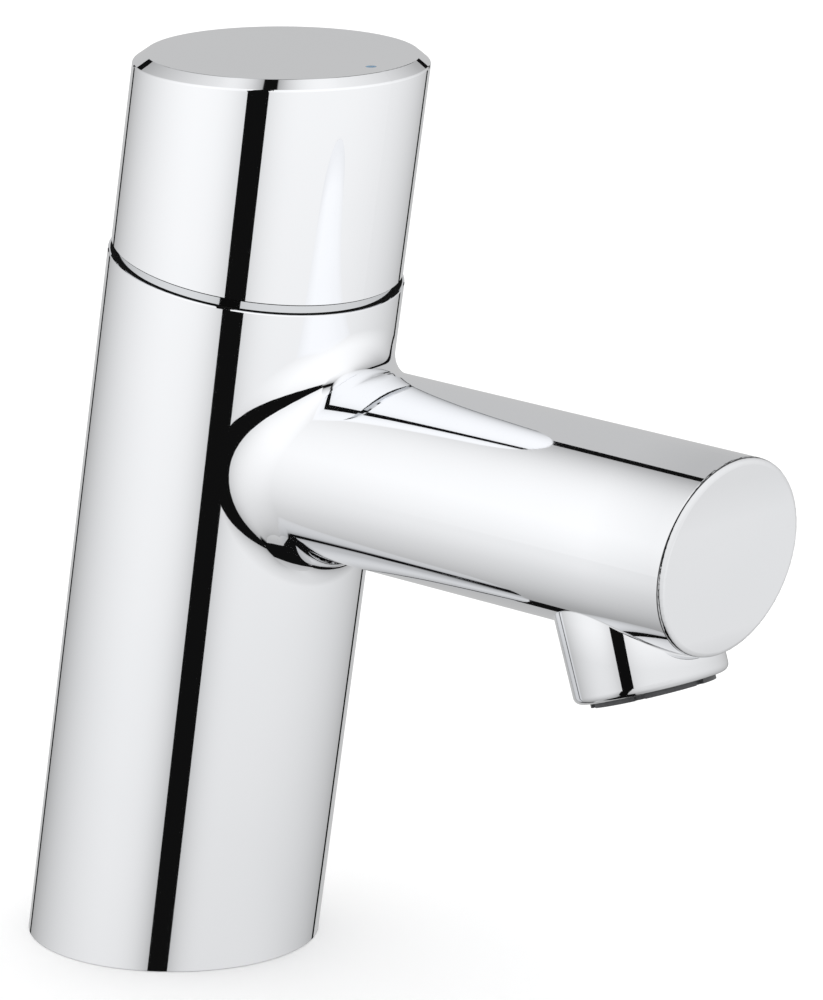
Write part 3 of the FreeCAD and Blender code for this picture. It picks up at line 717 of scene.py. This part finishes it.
rubber_tones = ((0.012, 0.012, 0.013), (0.030, 0.030, 0.031))
washer_shaded_tones = ((0.002, 0.002, 0.002), (0.006, 0.006, 0.006))
fibre_tones = ((0.26, 0.09, 0.05), (0.44, 0.20, 0.12))
dark_tones = ((0.030, 0.031, 0.034), (0.060, 0.061, 0.065))
white_tones = ((0.70, 0.70, 0.67), (0.80, 0.80, 0.78))
ceramic_tones = ((0.74, 0.72, 0.66), (0.86, 0.84, 0.79))
blue_tones = ((0.042, 0.155, 0.290), (0.076, 0.225, 0.360))

black_rubber = moulded("black_rubber", rubber_tones, rough=0.55, spread=0.25, grain=1800.0, depth=0.00004)
red_fibre = moulded("red_fibre", fibre_tones, rough=0.65, spread=0.20, grain=1400.0, depth=0.00006)
# The washer's black is darkened further with painted shade for its deep groove.
washer_black_and_shade = moulded("washer_black_and_shade", washer_shaded_tones, 0.80, 0.15, grain=1800.0, depth=0.00002, shine=0.1)
dark_plastic = moulded("dark_plastic", dark_tones, rough=0.35, spread=0.18, grain=2600.0, depth=0.00003)
white_plastic = moulded("white_plastic", white_tones, rough=0.32, spread=0.15, grain=1600.0, depth=0.00003)
ground_ceramic = moulded("ground_ceramic", ceramic_tones, 0.08, 0.06, grain=3200.0, depth=0.00001)
cold_blue = moulded("cold_blue", blue_tones, rough=0.18, spread=0.08, grain=2400.0, depth=0.00001)
print("seven moulded finishes, each of", len(cold_blue.node_tree.nodes), "nodes")

# %% [markdown]
# The imported record already says which slot each piece takes, so the finishes are handed out by slot.
# Three pieces take their own: the handle and the collar have their own chrome, the collar's darkened
# with painted shade, and the washer under the collar has its black darkened further with painted shade.

# %% Dress every piece
slot_finish = {
    "chrome": body_chrome,
    "brass": turned_brass,
    "steel": spring_steel,
    "rubber": black_rubber,
    "fibre": red_fibre,
    "ceramic": ground_ceramic,
    "dark_plastic": dark_plastic,
    "white_plastic": white_plastic,
    "blue_mark": cold_blue,
}
own_finish = {"handle": handle_chrome, "collar_ring": collar_chrome, "collar_washer": washer_black_and_shade}
subparts = frame["record"]["subparts"]
for subpart in subparts:
    piece = subpart["node"]
    finish = own_finish.get(piece, slot_finish[subpart["material_slot"]])
    for material_slot in tap_nodes[piece].material_slots:
        material_slot.material = finish
print("dressed", len(subparts), "pieces")

# %% [markdown]
# The foundry blends the spout into the column with a hollow that widens from the top to the sides, and
# the buffing wheel evens it out before plating. The solid's fillet is true to a few hundredths of a
# millimetre, and chrome still shows that as ripples. Smoothing the mesh would move its points. A ball
# rolled along both bars gives one exact direction at each point instead, and that follows from how
# far the point stands off each bar. So the column and the spout are set out as two plain round bars.
# The real hollow turns a little sooner beside the column than a ball's does, so the spout's share
# counts somewhat more.

# %% Set out the two bars
dip = math.radians(0.5)
column_bar = (Vector((0, 0, 0)), Vector((math.sin(lean), 0, math.cos(lean))), 0.023)
spout_bar = (Vector((0.01398, 0, 0.08354)), Vector((math.cos(dip), 0, -math.sin(dip))), 0.0153)
true_within = 0.000003
early_turn = 1.15


def stand_off(number, vector, place, bar):
    """How far a point stands off a round bar, and the direction straight away from the bar."""
    start, along, radius = bar
    reach = vector("SUBTRACT", place, start)
    outward = vector("SUBTRACT", reach, vector("PROJECT", reach, along))
    off_bar = number("SUBTRACT", vector("LENGTH", outward), radius + true_within)
    return off_bar, vector("NORMALIZE", outward)


def rolled_ball(number, vector, off_column, from_column, off_spout, from_spout):
    """The direction that a ball leaves behind when it rolls along both bars."""
    bend = number("ADD", 1.0, vector("DOT_PRODUCT", from_column, from_spout))
    twice = number("MULTIPLY", 2.0, number("MULTIPLY", off_column, off_spout))
    middle = number("SQRT", number("MULTIPLY", bend, twice))
    column_part = vector("MULTIPLY", from_column, number("MULTIPLY_ADD", off_spout, bend, middle))
    spout_weight = number("MULTIPLY", early_turn, number("MULTIPLY_ADD", off_column, bend, middle))
    spout_part = vector("MULTIPLY", from_spout, spout_weight)
    return vector("NORMALIZE", vector("ADD", column_part, spout_part))


between_bars = math.degrees(column_bar[1].angle(spout_bar[1]))
print("spout and column meet at", round(between_bars, 1), "degrees")

# %% [markdown]
# A small tree of geometry nodes works the direction out and gives it to the surface. Only points on
# the outer skin near the root are touched, and the water way inside keeps its own. The shape stays the
# solid's, and only the direction that light bounces in turns, by a few degrees.

# %% Even out the spout's root
root_reach = 0.035
skin = 0.00002


def even_root():
    """Node tree that points the hollow's surface the way a rolling ball leaves it."""
    tree = bpy.data.node_groups.new("even_root", "GeometryNodeTree")
    for way in ("INPUT", "OUTPUT"):
        tree.interface.new_socket("Geometry", in_out=way, socket_type="NodeSocketGeometry")
    number = partial(reckon, tree, "ShaderNodeMath")
    vector = partial(reckon, tree, "ShaderNodeVectorMath")
    place = tree.nodes.new("GeometryNodeInputPosition").outputs["Position"]
    off_column, from_column = stand_off(number, vector, place, column_bar)
    off_spout, from_spout = stand_off(number, vector, place, spout_bar)
    on_skin = number("GREATER_THAN", number("MINIMUM", off_column, off_spout), -skin)
    near = number("LESS_THAN", vector("DISTANCE", place, spout_bar[0]), root_reach)
    off_column = number("MAXIMUM", off_column, 0.0)
    off_spout = number("MAXIMUM", off_spout, 0.0)
    rolled = rolled_ball(number, vector, off_column, from_column, off_spout, from_spout)
    choice = tree.nodes.new("GeometryNodeSwitch")
    choice.input_type = "VECTOR"
    turned = tree.nodes.new("GeometryNodeSetMeshNormal")
    turned.mode = "FREE"
    turned.domain = "CORNER"
    wire(tree, number("MULTIPLY", on_skin, near), choice.inputs["Switch"])
    wire(tree, tree.nodes.new("GeometryNodeInputNormal").outputs["Normal"], choice.inputs["False"])
    wire(tree, rolled, choice.inputs["True"])
    wire(tree, tree.nodes.new("NodeGroupInput").outputs["Geometry"], turned.inputs["Mesh"])
    wire(tree, choice.outputs["Output"], turned.inputs["Custom Normal"])
    wire(tree, turned.outputs["Mesh"], tree.nodes.new("NodeGroupOutput").inputs["Geometry"])
    return tree


evening = tap_nodes["body"].modifiers.new("even_root", "NODES")
evening.node_group = even_root()
print("root evened with", len(evening.node_group.nodes), "nodes")

# %% [markdown]

# %% Bring in json
import json
